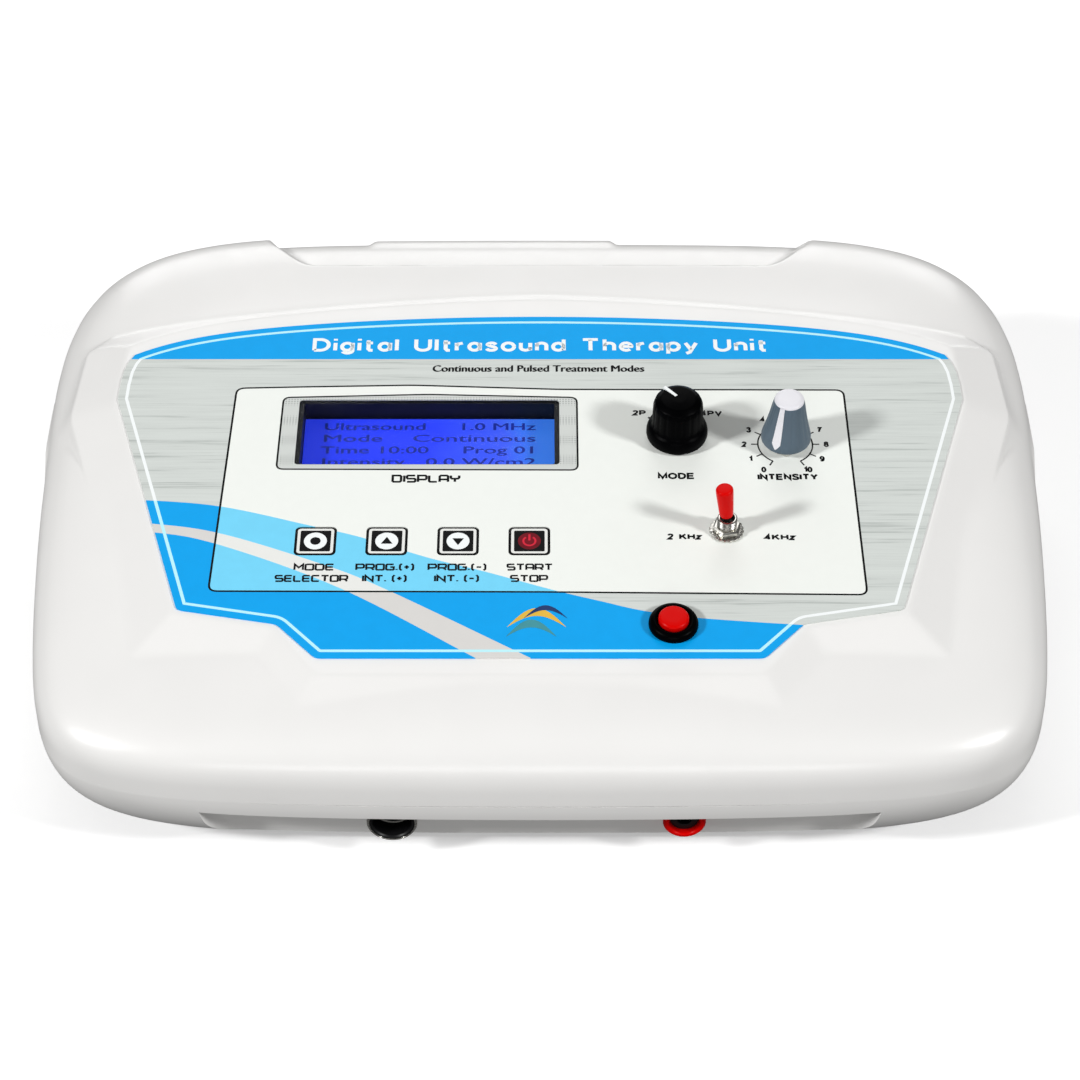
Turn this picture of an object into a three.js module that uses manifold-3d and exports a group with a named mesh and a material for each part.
// Table-top ultrasound therapy console, built as an assembly of separate pieces.
// Millimetres, +X to the operator's right, +Y to the rear, +Z up, origin on the table under the middle.
import * as THREE from "three";
import { mergeVertices } from "three/addons/utils/BufferGeometryUtils.js";
import Module from "manifold-3d";

const wasm = await Module();
wasm.setup();

// ---------------------------------------------------------------- driving dimensions
const GAP = 0.3; // clearance between neighbouring pieces
const WALL = 2.5; // thickness of the moulded shells
const ROUND = 16; // sides of a small turned piece
const KNOB_ROUND = 24;

// Pillow-shaped case
const HALF_WIDTH = 155.7;
const HALF_DEPTH = 119.5;
const REAR_WIDENING = 0.043; // the plan grows wider towards the rear
const END_WIDENING = 0.023; // and a little towards both ends
const SIDE_POWER = 5.7; // exponents of the plan outline
const FRONT_POWER = 10.2;
const REAR_POWER = 3.45;
const CORNER_TERM = 0.38; // extra rounding of the two front corners
const SIDE_FULLNESS = 4.8; // how square the shoulders are
const FRONT_FULLNESS = 3.2;
const REAR_FULLNESS = 5.7;
const CORNER_RELIEF = 44; // how far the crown sinks next to the front facets
const PARTING_Z = 31; // plane where the two shells meet
const FOOT_HEIGHT = 3;
const BASE_INSET = 23.7; // how far the flat base lies inside the parting outline
const BASE_POWER = 1.96;

// Sloping control panel: a plane through (0, PANEL_Y, PANEL_Z)
const PANEL_TILT = THREE.MathUtils.degToRad(6);
const PANEL_Y = -40.7;
const PANEL_Z = 62.2;
const OVERLAY = 0.4; // thickness of the printed overlay
const UNDERSIDE = -5.2; // what hangs under the panel starts here
const LAND = -0.6; // top of the moulded panel, measured from the overlay's face
const FACET_SLOPE = Math.tan(THREE.MathUtils.degToRad(20));
const FACET_REACH = 15;
const LAND_BESIDE = 1.2; // how far the flat land goes past the overlay at its sides
const LAND_BEHIND = 9; // and past its top edge, in the middle

// Recesses for the sockets, front and rear
const RECESS_FACE = 106.5; // distance of the socket panels from the middle
const FRONT_RECESS_HALF = 107;
const REAR_RECESS_HALF = 88;
const FRONT_LIP = 5.7; // height of the rim left above the front recess
const REAR_LIP = 1.6;
const REAR_SCOOP_START = 87.3; // the shallow scoop in the roof runs from here to the rear
const REAR_SCOOP_DEPTH = 2.4;

// Things on the panel: x across, y up the slope, both from the panel's reference point
const WINDOW = { x: -34.5, y: 45.7, width: 80.4, height: 27.8 };
const KEYS = [
  ["key_mode_selector", -66.6],
  ["key_program_up", -45.45],
  ["key_program_down", -24.3],
  ["key_start_stop", -3.15],
];
const KEY = { y: -0.4, width: 11.8, height: 11, stem: 4, travel: 0.4 };
const MODE = { x: 42.1, y: 43.8 };
const INTENSITY = { x: 75.3, y: 40.2 };
const TOGGLE = { x: 55.5, y: 3.7, lean: THREE.MathUtils.degToRad(6) };
const PUSH = { x: 38.4, y: -33.5 };
const ROTARY_HOLE = 4.8; // radius of the panel holes under the two knobs
const TOGGLE_HOLE = 3.3;
const PUSH_HOLE = 6.3;

// Sockets: x across, z above the table
const PROBE_SOCKET = { x: -42.5, z: 17.3, radius: 7.3 };
const OUTPUT_JACK = { x: 41.5, z: 17.3, radius: 6.2 };
const SOCKET_FRONT = 113.2; // distance of the socket rims from the middle
const INLET = { x: -45, z: 17.7 };
const ROCKER = { x: -8, z: 17.7 };
const FUSE = { x: 22, z: 17.7 };

// ---------------------------------------------------------------- materials
const material = (color, roughness, metalness = 0) =>
  new THREE.MeshStandardMaterial({ color, roughness, metalness });

const WHITE_ABS = material(0xf1efec, 0.28);
const PRINTED_FILM = material(0x2fa8ee, 0.4);
const CLEAR_FILM = material(0xe8f2f4, 0.1);
const BLACK_PLASTIC = material(0x111214, 0.35);
const LCD_BLUE = material(0x2a44c8, 0.25);
const BOARD_GREEN = material(0x1f6b3a, 0.6);
const GREY_PLASTIC = material(0x4b5864, 0.4);
const SILVER_CAP = material(0xdcdde0, 0.35);
const STEEL = material(0xc4c6c8, 0.3, 1);
const ALUMINIUM = material(0xa9acb0, 0.45, 1);
const RED_PLASTIC = material(0xc80f0c, 0.3);
const RUBBER = material(0x202022, 0.85);
const COPPER = material(0xb8693a, 0.4, 1);
const WHITE_PRINT = material(0xf4f4f4, 0.5);
const BRASS = material(0xc9a659, 0.35, 1);

// ---------------------------------------------------------------- solids
const device = new THREE.Group();
const panel = new THREE.Group();
panel.position.set(0, PANEL_Y, PANEL_Z);
panel.rotation.x = PANEL_TILT;
device.add(panel);

function solid(geometry) {
  const bare = geometry.clone();
  bare.deleteAttribute("normal");
  bare.deleteAttribute("uv");
  const merged = mergeVertices(bare, 1e-4);
  const vertProperties = new Float32Array(merged.attributes.position.array);
  const triVerts = new Uint32Array(merged.index.array);
  return new wasm.Manifold(new wasm.Mesh({ numProp: 3, vertProperties, triVerts }));
}

function geometryOf(body) {
  const mesh = body.getMesh();
  const geometry = new THREE.BufferGeometry();
  geometry.setAttribute("position", new THREE.BufferAttribute(mesh.vertProperties, 3));
  geometry.setIndex(new THREE.BufferAttribute(mesh.triVerts, 1));
  const faceted = geometry.toNonIndexed();
  faceted.computeVertexNormals();
  return faceted;
}

function add(parent, name, body, look) {
  const mesh = new THREE.Mesh(geometryOf(body), look);
  mesh.name = name;
  parent.add(mesh);
}

// A box centred at (x, y) that spans z0 to z1.
function block(x, y, width, depth, z0, z1) {
  const box = new THREE.BoxGeometry(width, depth, z1 - z0);
  return solid(box.translate(x, y, (z0 + z1) / 2));
}

function roundedShape(width, height, radius) {
  const shape = new THREE.Shape();
  const right = width / 2 - radius;
  const top = height / 2 - radius;
  shape.absarc(right, top, radius, 0, Math.PI / 2);
  shape.absarc(-right, top, radius, Math.PI / 2, Math.PI);
  shape.absarc(-right, -top, radius, Math.PI, 1.5 * Math.PI);
  shape.absarc(right, -top, radius, 1.5 * Math.PI, 2 * Math.PI);
  return shape;
}

function extruded(shape, z0, z1, curveSegments = 2) {
  const settings = { depth: z1 - z0, bevelEnabled: false, curveSegments };
  return solid(new THREE.ExtrudeGeometry(shape, settings).translate(0, 0, z0));
}

const plate = (x, y, width, height, radius, z0, z1) =>
  extruded(roundedShape(width, height, radius), z0, z1).translate([x, y, 0]);

// A piece turned about a vertical axis at (x, y): the profile lists radius and height, from the bottom
// of the axis round to its top, or once round a closed ring.
function turned(x, y, profile, sides = ROUND) {
  const points = profile.map(([radius, height]) => new THREE.Vector2(radius, height));
  const lathe = new THREE.LatheGeometry(points, sides).rotateX(Math.PI / 2);
  return solid(lathe.translate(x, y, 0));
}

const rod = (x, y, radius, z0, z1, sides = ROUND) =>
  turned(x, y, [[0, z0], [radius, z0], [radius, z1], [0, z1]], sides);

const tube = (x, y, inner, outer, z0, z1, sides = ROUND) =>
  turned(x, y, [[inner, z0], [outer, z0], [outer, z1], [inner, z1], [inner, z0]], sides);

function hexNut(x, y, acrossFlats, bore, z0, z1) {
  const radius = acrossFlats / Math.sqrt(3);
  return rod(x, y, radius, z0, z1, 6).subtract(rod(x, y, bore, z0 - 1, z1 + 1));
}

// ---------------------------------------------------------------- case surfaces
// Plan position for the normalised coordinates u (across) and v (front to rear) of a case
// whose surface lies `inset` inside the outer one.
function planPoint(u, v, inset) {
  const x = (HALF_WIDTH - inset) * u * (1 + REAR_WIDENING * v + END_WIDENING * v * v);
  return [x, (HALF_DEPTH - inset) * v];
}

const outlineLevel = (u, v) =>
  Math.abs(u) ** SIDE_POWER +
  Math.abs(v) ** (v < 0 ? FRONT_POWER : REAR_POWER) +
  (v < 0 ? CORNER_TERM * u * u * v * v : 0);

// Distance along the direction (cu, cv) at which the outline level is reached.
function reach(cu, cv, level) {
  let near = 0;
  let far = 2;
  for (let step = 0; step < 40; step += 1) {
    const middle = (near + far) / 2;
    if (outlineLevel(middle * cu, middle * cv) < level) {
      near = middle;
    } else {
      far = middle;
    }
  }
  return near;
}

function fullness(cu, cv) {
  const lengthwise = cv < 0 ? FRONT_FULLNESS : REAR_FULLNESS;
  return lengthwise + (SIDE_FULLNESS - lengthwise) * cu * cu;
}

function cornerRelief(u, v) {
  if (v > 0) return 0;
  return CORNER_RELIEF * u * u * v * v * Math.max(0, 1 - u * u) * Math.max(0, 1 - v * v);
}

// Joins rings of equal length, bottom first, into one closed surface.
function ringsSolid(rings) {
  const count = rings[0].length;
  const positions = rings.flat(2);
  const middle = (ring) => ring.reduce((sum, p) => sum.map((s, i) => s + p[i] / count), [0, 0, 0]);
  positions.push(...middle(rings[0]), ...middle(rings[rings.length - 1]));
  const bottom = rings.length * count;
  const index = [];
  for (let i = 0; i < count; i += 1) {
    const next = (i + 1) % count;
    const topRow = (rings.length - 1) * count;
    index.push(bottom, next, i);
    index.push(bottom + 1, topRow + i, topRow + next);
    for (let row = 0; row < topRow; row += count) {
      index.push(row + i, row + next, row + count + next);
      index.push(row + i, row + count + next, row + count + i);
    }
  }
  const vertProperties = new Float32Array(positions);
  const triVerts = new Uint32Array(index);
  return new wasm.Manifold(new wasm.Mesh({ numProp: 3, vertProperties, triVerts }));
}

const AROUND = 48;
const angles = Array.from({ length: AROUND }, (_, i) => (2 * Math.PI * i) / AROUND);

// The upper half of the pillow, `inset` inside the outer surface; its foot reaches `skirt` lower.
function upperPillow(inset, skirt = 0) {
  const heights = [0, 0.3, 0.54, 0.72, 0.85, 0.93, 0.98];
  const rings = heights.map((h) =>
    angles.map((angle) => {
      const [cu, cv] = [Math.cos(angle), Math.sin(angle)];
      const r = reach(cu, cv, 1 - h ** fullness(cu, cv));
      const [x, y] = planPoint(r * cu, r * cv, inset);
      const crown = PANEL_Z + LAND - inset - PARTING_Z + Math.tan(PANEL_TILT) * (y - PANEL_Y);
      return [x, y, PARTING_Z + crown * h - cornerRelief(r * cu, r * cv)];
    }),
  );
  if (skirt > 0) rings.unshift(rings[0].map(([x, y]) => [x, y, PARTING_Z - skirt]));
  return ringsSolid(rings);
}

// The lower half, with its flat base; its rim reaches `collar` above the parting plane.
function lowerPillow(inset, collar = 0) {
  const steps = [1, 0.72, 0.47, 0.23, 0];
  const drop = PARTING_Z - GAP - FOOT_HEIGHT - inset;
  const rings = steps.map((step) => {
    const angle = (step * Math.PI) / 2;
    const [c, s] = [Math.cos(angle), Math.sin(angle)];
    const q = (c ** BASE_POWER + s ** BASE_POWER) ** (-1 / BASE_POWER);
    const shrink = BASE_INSET * (1 - q * c);
    return angles.map((around) => {
      const [cu, cv] = [Math.cos(around), Math.sin(around)];
      const r = reach(cu, cv, 1);
      const [x, y] = planPoint(r * cu, r * cv, inset);
      const z = PARTING_Z - GAP - drop * q * s;
      return [x * (1 - shrink / HALF_WIDTH), y * (1 - shrink / HALF_DEPTH), z];
    });
  });
  if (collar > 0) rings.push(rings[rings.length - 1].map(([x, y]) => [x, y, PARTING_Z + collar]));
  return ringsSolid(rings);
}

// ---------------------------------------------------------------- panel outline
const TOP_ARC = { rise: 98.4, side: 80.4, halfWidth: 128.7 };

// Right half of the overlay's outline, from the top middle down to the bottom middle.
function halfOutline() {
  const points = [];
  const arcSteps = 8;
  for (let i = 0; i < arcSteps; i += 1) {
    const t = i / arcSteps;
    const fall = (TOP_ARC.rise - TOP_ARC.side) * (0.62 * t ** 2 + 0.38 * t ** 8);
    points.push([TOP_ARC.halfWidth * t, TOP_ARC.rise - fall]);
  }
  points.push([128.7, 80.4], [131.2, 73], [131.8, 60]);
  points.push([105.3, -27.5], [76, -33], [64, -45.9]);
  return points;
}

function wholeOutline(half) {
  const right = half.filter(([x]) => x > 0);
  const left = right.map(([x, y]) => [-x, y]).reverse();
  const top = half.filter(([x]) => x === 0);
  return [...top, ...right, ...left].reverse(); // counter-clockwise seen from above
}

// Moves every corner of a counter-clockwise outline outwards, with mitred corners.
function offsetOutline(points, distance) {
  return points.map((point, i) => {
    const before = points[(i + points.length - 1) % points.length];
    const after = points[(i + 1) % points.length];
    const side = ([ax, ay], [bx, by]) => {
      const length = Math.hypot(bx - ax, by - ay);
      return [(by - ay) / length, (ax - bx) / length];
    };
    const [nx, ny] = side(before, point);
    const [mx, my] = side(point, after);
    const scale = distance / (1 + nx * mx + ny * my);
    return [point[0] + (nx + mx) * scale, point[1] + (ny + my) * scale];
  });
}

const outlineShape = (points) => new THREE.Shape(points.map(([x, y]) => new THREE.Vector2(x, y)));

// The raised land under the overlay: a flat top with facets that slope down all round it.
function panelLand() {
  const alongTop = ([x, y], i) => [x * 1.02, y + LAND_BEHIND - i * 0.6];
  const alongSide = ([x, y]) => [x + LAND_BESIDE, y - 1];
  const top = halfOutline()
    .filter(([, y]) => y > -40)
    .map((point, i) => (point[1] > 75 ? alongTop(point, i) : alongSide(point)));
  top.push([64, -52]);
  const upper = wholeOutline(top);
  const lower = offsetOutline(upper, FACET_REACH);
  const count = upper.length;
  const drop = LAND - FACET_REACH * FACET_SLOPE;
  const caps = THREE.ShapeUtils.triangulateShape(
    upper.map(([x, y]) => new THREE.Vector2(x, y)),
    [],
  );
  const positions = [];
  lower.forEach(([x, y]) => positions.push(x, y, drop));
  upper.forEach(([x, y]) => positions.push(x, y, LAND));
  const index = [];
  caps.forEach(([a, b, c]) => index.push(count + a, count + b, count + c, a, c, b));
  for (let i = 0; i < count; i += 1) {
    const next = (i + 1) % count;
    index.push(i, next, count + next, i, count + next, count + i);
  }
  const vertProperties = new Float32Array(positions);
  const triVerts = new Uint32Array(index);
  return new wasm.Manifold(new wasm.Mesh({ numProp: 3, vertProperties, triVerts }));
}

// Turns a solid made in the panel's frame into the device's frame.
const onPanel = (body) =>
  body.rotate([THREE.MathUtils.radToDeg(PANEL_TILT), 0, 0]).translate([0, PANEL_Y, PANEL_Z]);

// Turns a solid made about +Z so that its +Z points to the front (or to the rear).
const facingFront = (body, x, z) => body.rotate([90, 0, 0]).translate([x, 0, z]);
const facingRear = (body, x, z) => body.rotate([-90, 0, 0]).translate([x, 0, z]);

// ---------------------------------------------------------------- case
const POSTS = [[-118, -72], [118, -72], [-118, 84], [118, 84]];
const FEET = [[-100, -72], [100, -72], [-100, 72], [100, 72]];
const SCREW_PILOT = 1.3; // radius of the blind hole a case screw bites into
const SCREW_CLEARANCE = 1.8;
const SCREW_HEAD_HOLE = 3.4;

// The region over the rear scoop, widened by `margin`.
function scoopRegion(margin) {
  const width = 2 * (REAR_RECESS_HALF + margin);
  const depth = 2 * (HALF_DEPTH - REAR_SCOOP_START + margin);
  return block(0, HALF_DEPTH, width, depth, -9, 99);
}

// Round holes for the two knobs, the toggle and the push button.
const controlHoles = (z0, z1) => [
  rod(MODE.x, MODE.y, ROTARY_HOLE, z0, z1),
  rod(INTENSITY.x, INTENSITY.y, ROTARY_HOLE, z0, z1),
  rod(TOGGLE.x, TOGGLE.y, TOGGLE_HOLE, z0, z1),
  rod(PUSH.x, PUSH.y, PUSH_HOLE, z0, z1),
];

function panelOpenings() {
  const openings = [
    plate(WINDOW.x, WINDOW.y, WINDOW.width + 1.6, WINDOW.height + 1.6, 1.5, -12, 4),
    ...controlHoles(-12, 4),
  ];
  KEYS.forEach(([, x]) => {
    openings.push(rod(x, KEY.y, 3, -12, 4, 16));
    openings.push(plate(x, KEY.y, KEY.width + 0.8, KEY.height + 0.8, 1.5, -1.5, 4));
  });
  return openings.map(onPanel);
}

function topShell() {
  const scoop = scoopRegion(0).subtract(upperPillow(REAR_SCOOP_DEPTH, 40));
  const cavityScoop = scoopRegion(WALL).subtract(upperPillow(REAR_SCOOP_DEPTH + WALL, 40));
  const outside = upperPillow(0).add(onPanel(panelLand())).subtract(scoop);
  const underside = block(0, 0, 400, 300, -9, PARTING_Z);
  const cavity = upperPillow(WALL, 5).subtract(cavityScoop);
  let shell = outside.subtract(underside).subtract(cavity);
  POSTS.forEach(([x, y]) => {
    const post = rod(x, y, 4, PARTING_Z + 0.5, 90, 16).intersect(upperPillow(1.2));
    shell = shell.add(post).subtract(rod(x, y, SCREW_PILOT, PARTING_Z, PARTING_Z + 14, 12));
  });
  panelOpenings().forEach((opening) => {
    shell = shell.subtract(opening);
  });
  return shell;
}

// Room for the sockets: everything in front of (or behind) the socket panel and below the lip.
function recess(front, margin) {
  const half = (front ? FRONT_RECESS_HALF : REAR_RECESS_HALF) + margin;
  const face = RECESS_FACE - margin;
  const ceiling = PARTING_Z - GAP - (front ? FRONT_LIP : REAR_LIP) + margin;
  const depth = 2 * (HALF_DEPTH - face) + 10;
  const y = (front ? -1 : 1) * (face + depth / 2);
  return block(0, y, 2 * half, depth, -9, ceiling);
}

function bottomShell() {
  const scoop = scoopRegion(0).subtract(lowerPillow(REAR_SCOOP_DEPTH, 40));
  const cavityScoop = scoopRegion(WALL).subtract(lowerPillow(REAR_SCOOP_DEPTH + WALL, 40));
  const outside = lowerPillow(0).subtract(scoop).subtract(recess(true, 0)).subtract(recess(false, 0));
  const cavity = lowerPillow(WALL, 5)
    .subtract(cavityScoop)
    .subtract(recess(true, WALL))
    .subtract(recess(false, WALL));
  let shell = outside.subtract(cavity);
  POSTS.forEach(([x, y]) => {
    const boss = rod(x, y, 5, FOOT_HEIGHT + 1, PARTING_Z - 0.5, 16);
    const screwHole = rod(x, y, SCREW_CLEARANCE, -1, PARTING_Z + 1, 12);
    const headHole = rod(x, y, SCREW_HEAD_HOLE, -1, FOOT_HEIGHT + 14, 12);
    shell = shell.add(boss).subtract(screwHole).subtract(headHole);
  });
  const past = RECESS_FACE + 20;
  const holes = [
    facingFront(rod(0, 0, 6.3, 90, past), PROBE_SOCKET.x, PROBE_SOCKET.z),
    facingFront(rod(0, 0, 4.9, 90, past), OUTPUT_JACK.x, OUTPUT_JACK.z),
    facingRear(plate(0, 0, 27, 19, 2, 90, past), INLET.x, INLET.z),
    facingRear(plate(0, 0, 19.8, 13.4, 0.6, 90, past), ROCKER.x, ROCKER.z),
    facingRear(rod(0, 0, 6.3, 90, past), FUSE.x, FUSE.z),
  ];
  holes.forEach((hole) => {
    shell = shell.subtract(hole);
  });
  return shell;
}

add(device, "top_shell", topShell(), WHITE_ABS);
add(device, "bottom_shell", bottomShell(), WHITE_ABS);

// The shank passes the boss of the bottom shell and ends in the post of the top shell.
function caseScrew(x, y) {
  const head = FOOT_HEIGHT + 13.7;
  const tip = PARTING_Z + 10;
  const profile = [[0, head - 2.4], [2.9, head - 2.4], [2.9, head], [1.2, head], [1.2, tip], [0, tip]];
  return turned(x, y, profile, 12);
}

function rubberFoot(x, y) {
  const top = FOOT_HEIGHT - 0.2;
  return turned(x, y, [[0, 0], [6.4, 0], [7, 0.6], [7.5, top], [0, top]]);
}

POSTS.forEach(([x, y], i) => add(device, `case_screw_${i + 1}`, caseScrew(x, y), STEEL));
FEET.forEach(([x, y], i) => add(device, `rubber_foot_${i + 1}`, rubberFoot(x, y), RUBBER));

// ---------------------------------------------------------------- overlay and display
function controlOverlay() {
  let film = extruded(outlineShape(wholeOutline(halfOutline())), -OVERLAY, 0);
  const cuts = [
    plate(WINDOW.x, WINDOW.y, WINDOW.width + 2 * GAP, WINDOW.height + 2 * GAP, 1.2, -2, 2),
    ...controlHoles(-2, 2),
    ...KEYS.map(([, x]) => plate(x, KEY.y, KEY.width + 2 * GAP, KEY.height + 2 * GAP, 1.5, -2, 2)),
  ];
  cuts.forEach((cut) => {
    film = film.subtract(cut);
  });
  return film;
}

add(panel, "control_overlay", controlOverlay(), PRINTED_FILM);

const clearWindow = plate(WINDOW.x, WINDOW.y, WINDOW.width, WINDOW.height, 1, -OVERLAY, 0);
add(panel, "display_window", clearWindow, CLEAR_FILM);

function lcdBezel() {
  const { x, y, width, height } = WINDOW;
  const collar = plate(x, y, width + 1, height + 1, 1.2, -7, -0.8);
  const flange = plate(x, y, 97, 40, 1.5, -7, UNDERSIDE);
  return collar.add(flange).subtract(plate(x, y, width - 2.4, height - 1.2, 0.8, -9, 1));
}

const LCD_FACE = -7.3;
const lcdGlass = plate(WINDOW.x, WINDOW.y, 88, 34, 0.5, LCD_FACE - 1.8, LCD_FACE);
const lcdBoard = plate(WINDOW.x, WINDOW.y - 1, 98, 56, 1, LCD_FACE - 3.8, LCD_FACE - 2.1);
add(panel, "lcd_bezel", lcdBezel(), BLACK_PLASTIC);
add(panel, "lcd_glass", lcdGlass, LCD_BLUE);
add(panel, "lcd_board", lcdBoard, BOARD_GREEN);

// ---------------------------------------------------------------- keys
const STEM_END = -5.2;
const BOARD_TOP = -9.4;

KEYS.forEach(([name, x]) => {
  const pad = plate(x, KEY.y, KEY.width, KEY.height, 1.4, -OVERLAY, 0);
  const stem = rod(x, KEY.y, KEY.stem / 2, STEM_END, -OVERLAY / 2, 12);
  add(panel, name, pad.add(stem), BLACK_PLASTIC);
});

function keypadBoard() {
  const middle = (KEYS[0][1] + KEYS[3][1]) / 2;
  let board = block(middle, KEY.y, 78, 14, BOARD_TOP - 1.6, BOARD_TOP);
  KEYS.forEach(([, x]) => {
    const body = block(x, KEY.y, 6, 6, BOARD_TOP - 0.5, BOARD_TOP + 2.4);
    const plunger = rod(x, KEY.y, 1.7, BOARD_TOP + 2, STEM_END - KEY.travel - 0.1, 12);
    board = board.add(body).add(plunger);
  });
  return board;
}
add(panel, "keypad_board", keypadBoard(), BOARD_GREEN);

// ---------------------------------------------------------------- rotary controls
const SHAFT = 3; // radius of both control shafts
const BUSHING_TOP = 2.8;

// A rotary switch or potentiometer: a round can under the panel with a threaded bushing.
function rotaryBody({ x, y }, radius) {
  const profile = [
    [SHAFT + GAP, -14], [radius, -14], [radius, UNDERSIDE], [4.5, UNDERSIDE],
    [4.5, BUSHING_TOP], [SHAFT + GAP, BUSHING_TOP], [SHAFT + GAP, -14],
  ];
  return turned(x, y, profile);
}

function modeKnob() {
  const { x, y } = MODE;
  const outside = turned(x, y, [
    [0, 0.8], [9.2, 0.8], [9.45, 1.6], [9.3, 3.6], [7.9, 4.8],
    [7.4, 5.6], [7.2, 14.4], [6.3, 15.7], [3.4, 16.3], [0, 16.4],
  ], KNOB_ROUND);
  const hollow = rod(x, y, 7, -1, 4);
  const bore = rod(x, y, SHAFT + GAP, -1, 12.3);
  const groove = pointerBar(1.6, 0.9, 1);
  return outside.subtract(hollow).subtract(bore).subtract(groove);
}

// The white pointer line inlaid in the mode knob's top, turned to the first position.
const MODE_REST = THREE.MathUtils.degToRad(41);
function pointerBar(width, depth, overshoot) {
  const length = 6.4;
  const bar = block(0, length / 2, width, length + overshoot, 16.2 - depth, 16.2 + overshoot);
  return bar.rotate([0, 0, THREE.MathUtils.radToDeg(MODE_REST)]).translate([MODE.x, MODE.y, 0]);
}

function intensityKnob() {
  const { x, y } = INTENSITY;
  const profile = [[0, 2.9], [7.65, 2.9], [7.4, 5], [4.6, 18.4], [4.3, 19.2], [0, 19.2]];
  const outside = turned(x, y, profile, KNOB_ROUND);
  const hollow = rod(x, y, 6.3, -1, 4.6);
  const bore = rod(x, y, SHAFT + GAP, -1, 13.3);
  const seat = rod(x, y, 3.9, 18.4, 25);
  return outside.subtract(hollow).subtract(bore).subtract(seat);
}

add(panel, "mode_switch", rotaryBody(MODE, 11), BLACK_PLASTIC);
add(panel, "mode_switch_nut", hexNut(MODE.x, MODE.y, 11, 4.8, 0.3, 2.3), STEEL);
add(panel, "mode_shaft", rod(MODE.x, MODE.y, SHAFT, -12, 12), ALUMINIUM);
add(panel, "mode_knob", modeKnob(), BLACK_PLASTIC);
add(panel, "mode_knob_pointer", pointerBar(1, 0.6, 0), WHITE_PRINT);

add(panel, "intensity_potentiometer", rotaryBody(INTENSITY, 8.5), ALUMINIUM);
add(panel, "intensity_nut", hexNut(INTENSITY.x, INTENSITY.y, 10, 4.8, 0.3, 2.3), STEEL);
add(panel, "intensity_shaft", rod(INTENSITY.x, INTENSITY.y, SHAFT, -12, 13), ALUMINIUM);
add(panel, "intensity_knob", intensityKnob(), GREY_PLASTIC);
add(panel, "intensity_knob_cap", rod(INTENSITY.x, INTENSITY.y, 3.6, 18.7, 19.7), SILVER_CAP);

// ---------------------------------------------------------------- toggle switch
const TOGGLE_PIVOT = 3.4; // height of the lever's pivot above the overlay

function toggleSwitch() {
  const { x, y } = TOGGLE;
  const box = block(x, y, 13, 7.5, -14.5, UNDERSIDE);
  const bushing = rod(x, y, 3, UNDERSIDE - 1, 5.6);
  const throat = turned(x, y, [[0, -8], [2, -8], [2, 4], [2.4, 9], [0, 9]], ROUND);
  return box.add(bushing).subtract(throat);
}

// Leans a piece made upright at the pivot to the left, its position at rest.
const leaning = (body) =>
  body
    .rotate([0, -THREE.MathUtils.radToDeg(TOGGLE.lean), 0])
    .translate([TOGGLE.x, TOGGLE.y, TOGGLE_PIVOT]);

function toggleLever() {
  const profile = [
    [0, -4], [0.8, -4], [0.95, -1.4], [1.5, -0.6],
    [1.5, 0.6], [0.95, 1.4], [0.95, 13.6], [0, 13.6],
  ];
  return leaning(turned(0, 0, profile));
}

function toggleSleeve() {
  const outside = [[0, 3.6], [2, 3.6], [2.6, 12.8], [2.5, 14.3], [1.9, 14.9], [0, 14.9]];
  return leaning(turned(0, 0, outside).subtract(rod(0, 0, 1.25, 3, 13.9, 12)));
}

add(panel, "toggle_switch", toggleSwitch(), STEEL);
add(panel, "toggle_washer", tube(TOGGLE.x, TOGGLE.y, 3.3, 5.2, 0.2, 0.8), STEEL);
add(panel, "toggle_nut", hexNut(TOGGLE.x, TOGGLE.y, 7.6, 3.3, 1.1, 2.8), STEEL);
add(panel, "toggle_lever", toggleLever(), STEEL);
add(panel, "toggle_sleeve", toggleSleeve(), RED_PLASTIC);

// ---------------------------------------------------------------- push button
function pushButtonBody() {
  const { x, y } = PUSH;
  return turned(x, y, [
    [4.7, -8], [6, -8], [6, 0.3], [7.2, 0.3], [7.2, 1.3],
    [6.4, 2.4], [5.2, 2.8], [4.7, 2.6], [4.7, -8],
  ], KNOB_ROUND);
}

function pushButtonCap() {
  const { x, y } = PUSH;
  const profile = [[0, -6], [3.4, -6], [3.4, 0.6], [4.4, 0.6], [4.4, 3.2], [3.9, 3.8], [2.4, 4], [0, 4]];
  return turned(x, y, profile);
}

add(panel, "push_button_body", pushButtonBody(), BLACK_PLASTIC);
add(panel, "push_button_cap", pushButtonCap(), RED_PLASTIC);
add(panel, "push_button_nut", hexNut(PUSH.x, PUSH.y, 14.4, 6.3, UNDERSIDE - 2.2, UNDERSIDE - 0.2), STEEL);

// ---------------------------------------------------------------- front sockets
// Each is turned about its own axis, heights measured forwards from the middle of the case.
function probeSocketShell() {
  const rim = PROBE_SOCKET.radius;
  const flangeBack = RECESS_FACE + GAP;
  return turned(0, 0, [
    [5.4, 96], [6, 96], [6, flangeBack], [rim, flangeBack],
    [rim, SOCKET_FRONT - 0.5], [rim - 0.5, SOCKET_FRONT], [6.6, SOCKET_FRONT],
    [6.6, RECESS_FACE + 1], [5.4, RECESS_FACE], [5.4, 96],
  ]);
}

function probeSocketInsert() {
  let insert = rod(0, 0, 5.1, 95, RECESS_FACE + 1);
  for (let i = 0; i < 4; i += 1) {
    const angle = (i + 0.5) * (Math.PI / 2);
    const hole = rod(2.9 * Math.cos(angle), 2.9 * Math.sin(angle), 0.7, RECESS_FACE - 6, 130, 8);
    insert = insert.subtract(hole);
  }
  return insert;
}

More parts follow.
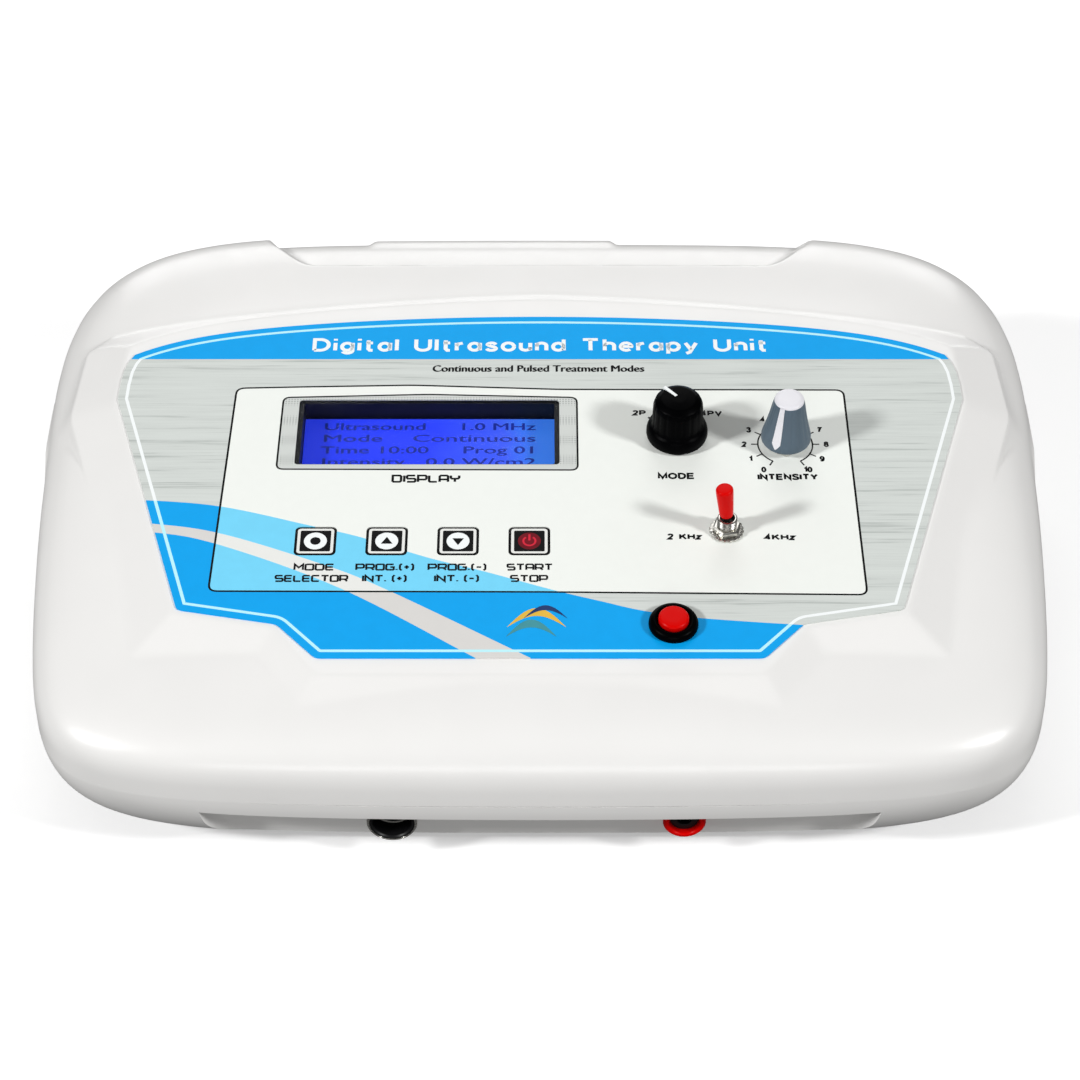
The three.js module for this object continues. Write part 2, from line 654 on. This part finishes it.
function outputJackCollar() {
  const rim = OUTPUT_JACK.radius;
  const back = RECESS_FACE + GAP;
  return turned(0, 0, [
    [4.35, SOCKET_FRONT - 4.6], [4.6, back], [rim, back], [rim, SOCKET_FRONT - 0.8],
    [rim - 0.8, SOCKET_FRONT], [4.6, SOCKET_FRONT], [4.35, SOCKET_FRONT - 0.4],
    [4.35, SOCKET_FRONT - 4.6],
  ]);
}

function outputJackInsert() {
  const face = SOCKET_FRONT - 1.6;
  const profile = [[0, 94], [4.05, 94], [4.05, face], [2.1, face], [2.1, face - 8], [0, face - 8]];
  return turned(0, 0, profile);
}

const BEHIND = RECESS_FACE - WALL - GAP; // nuts are tightened against the inside of the wall
const front = (name, body, { x, z }, look) => add(device, name, facingFront(body, x, z), look);
front("probe_socket_shell", probeSocketShell(), PROBE_SOCKET, STEEL);
front("probe_socket_insert", probeSocketInsert(), PROBE_SOCKET, BLACK_PLASTIC);
front("probe_socket_nut", hexNut(0, 0, 15, 6.3, BEHIND - 3, BEHIND), PROBE_SOCKET, STEEL);
front("output_jack_collar", outputJackCollar(), OUTPUT_JACK, RED_PLASTIC);
front("output_jack_insert", outputJackInsert(), OUTPUT_JACK, BLACK_PLASTIC);
front("output_jack_nut", hexNut(0, 0, 12, 4.4, BEHIND - 2.5, BEHIND), OUTPUT_JACK, BRASS);

// ---------------------------------------------------------------- rear panel
const REAR_FACE = RECESS_FACE + GAP; // flanges of the rear fittings stand on this plane

function mainsInlet() {
  const face = REAR_FACE;
  const flange = plate(0, 0, 30, 21.6, 2, face, face + 2);
  const body = plate(0, 0, 26.4, 18.4, 2, 88, face + 1);
  const cavity = plate(0, 0, 23.4, 15.4, 2.4, face - 14, face + 9);
  return flange.add(body).subtract(cavity);
}

const PINS = [[-7, 1], [0, -1], [7, 1]];

function rockerFrame() {
  const face = REAR_FACE;
  const flange = plate(0, 0, 21.4, 15.2, 1.5, face, face + 1.8);
  const body = plate(0, 0, 19.2, 12.8, 0.8, 94, face + 1);
  return flange.add(body).subtract(plate(0, 0, 16.6, 10.8, 0.6, face - 7, face + 9));
}

// The rocker's two faces meet in a shallow valley over its pivot.
const ROCKER_PIVOT = RECESS_FACE - 2;
function rockerPaddle() {
  const shape = new THREE.Shape();
  const half = 7.1;
  shape.moveTo(-half, 0);
  shape.lineTo(-4, -3);
  shape.lineTo(4, -3);
  shape.lineTo(half, 0);
  shape.lineTo(half, 5.6);
  shape.lineTo(0, 4.2);
  shape.lineTo(-half, 5.6);
  const paddle = extruded(shape, -5, 5).rotate([90, 0, 0]);
  return paddle.rotate([0, 10, 0]).translate([0, 0, ROCKER_PIVOT]);
}

function fuseHolder() {
  const face = REAR_FACE;
  return turned(0, 0, [
    [4.6, 84], [6, 84], [6, face], [7.4, face],
    [7.4, face + 1.6], [4.6, face + 1.6], [4.6, 84],
  ]);
}

function fuseCap() {
  const face = REAR_FACE;
  const outside = turned(0, 0, [
    [0, 88], [2.8, 88], [2.8, face - 6], [4.2, face - 6],
    [4.2, face + 1.9], [5.6, face + 1.9], [5.4, face + 6], [0, face + 6],
  ]);
  const slot = block(0, 0, 1.2, 8, face + 5, face + 9);
  return outside.subtract(slot);
}

const rear = (name, body, { x, z }, look) => add(device, name, facingRear(body, x, z), look);
rear("mains_inlet", mainsInlet(), INLET, BLACK_PLASTIC);
PINS.forEach(([x, y], i) => {
  const pin = block(x, y, 2, 4, REAR_FACE - 13.7, REAR_FACE - 3);
  rear(`mains_pin_${i + 1}`, pin, INLET, BRASS);
});
rear("power_switch_frame", rockerFrame(), ROCKER, BLACK_PLASTIC);
rear("power_switch_rocker", rockerPaddle(), ROCKER, RED_PLASTIC);
rear("fuse_holder", fuseHolder(), FUSE, BLACK_PLASTIC);
rear("fuse_cap", fuseCap(), FUSE, BLACK_PLASTIC);

// ---------------------------------------------------------------- electronics inside
const FLOOR = FOOT_HEIGHT + WALL;
const BOARD = { x: 42, y: 0, width: 130, depth: 90, z: FLOOR + 6, thickness: 1.6, margin: 5 };
const FINS = { count: 6, pitch: 7.2, thickness: 1.6, height: 20 };

function mainBoard() {
  let board = block(BOARD.x, BOARD.y, BOARD.width, BOARD.depth, BOARD.z, BOARD.z + BOARD.thickness);
  [-1, 1].forEach((sx) => {
    [-1, 1].forEach((sy) => {
      const x = BOARD.x + sx * (BOARD.width / 2 - BOARD.margin);
      const y = BOARD.y + sy * (BOARD.depth / 2 - BOARD.margin);
      board = board.add(rod(x, y, 3, FLOOR + GAP, BOARD.z + 0.5, 12));
    });
  });
  return board;
}

const onBoard = BOARD.z + BOARD.thickness + GAP;
add(device, "main_board", mainBoard(), BOARD_GREEN);
add(device, "microcontroller", block(30, -20, 36, 13, onBoard, onBoard + 4), BLACK_PLASTIC);

function heatSink() {
  const [x, y, width, depth] = [80, 20, 40, 26];
  let sink = block(x, y, width, depth, onBoard, onBoard + 3);
  for (let i = 0; i < FINS.count; i += 1) {
    const finX = x + (i - (FINS.count - 1) / 2) * FINS.pitch;
    sink = sink.add(block(finX, y, FINS.thickness, depth, onBoard + 1, onBoard + FINS.height));
  }
  return sink;
}
add(device, "heat_sink", heatSink(), ALUMINIUM);
add(device, "output_transistor", block(80, -2, 10, 4.6, onBoard, onBoard + 16), BLACK_PLASTIC);
add(device, "smoothing_capacitor", rod(12, 24, 8, onBoard, onBoard + 25, 20), BLACK_PLASTIC);

// Mains transformer: a laminated core with two windows round a wound coil.
const CORE = { x: -70, y: 10, width: 57, depth: 30, z: FLOOR + GAP, height: 44, yoke: 8 };
function transformerCore() {
  const { x, y, width, depth, z, height, yoke } = CORE;
  let core = block(x, y, width, depth, z, z + height);
  [-1, 1].forEach((side) => {
    const opening = block(x + side * 14, y, 12, depth + 4, z + yoke, z + height - yoke);
    core = core.subtract(opening);
  });
  return core;
}

function transformerCoil() {
  const { x, y, depth, z, height, yoke } = CORE;
  const outer = plate(x, y, 37, depth + 16, 4, z + yoke + GAP, z + height - yoke - GAP);
  return outer.subtract(block(x, y, 16.6, depth + 0.6, z, z + height));
}
add(device, "transformer_core", transformerCore(), STEEL);
add(device, "transformer_coil", transformerCoil(), COPPER);

function ribbonCable() {
  const bend = new THREE.CatmullRomCurve3([
    new THREE.Vector3(-5, -11, 53),
    new THREE.Vector3(-5, -12, 46),
    new THREE.Vector3(-5, -22, 34),
    new THREE.Vector3(-5, -20, 22),
    new THREE.Vector3(-5, -19, onBoard + 0.6),
  ]);
  const section = new THREE.Shape();
  section.moveTo(-9, -0.5);
  section.lineTo(9, -0.5);
  section.lineTo(9, 0.5);
  section.lineTo(-9, 0.5);
  return solid(new THREE.ExtrudeGeometry(section, { steps: 10, extrudePath: bend }));
}
add(device, "display_ribbon", ribbonCable(), GREY_PLASTIC);

export default device;
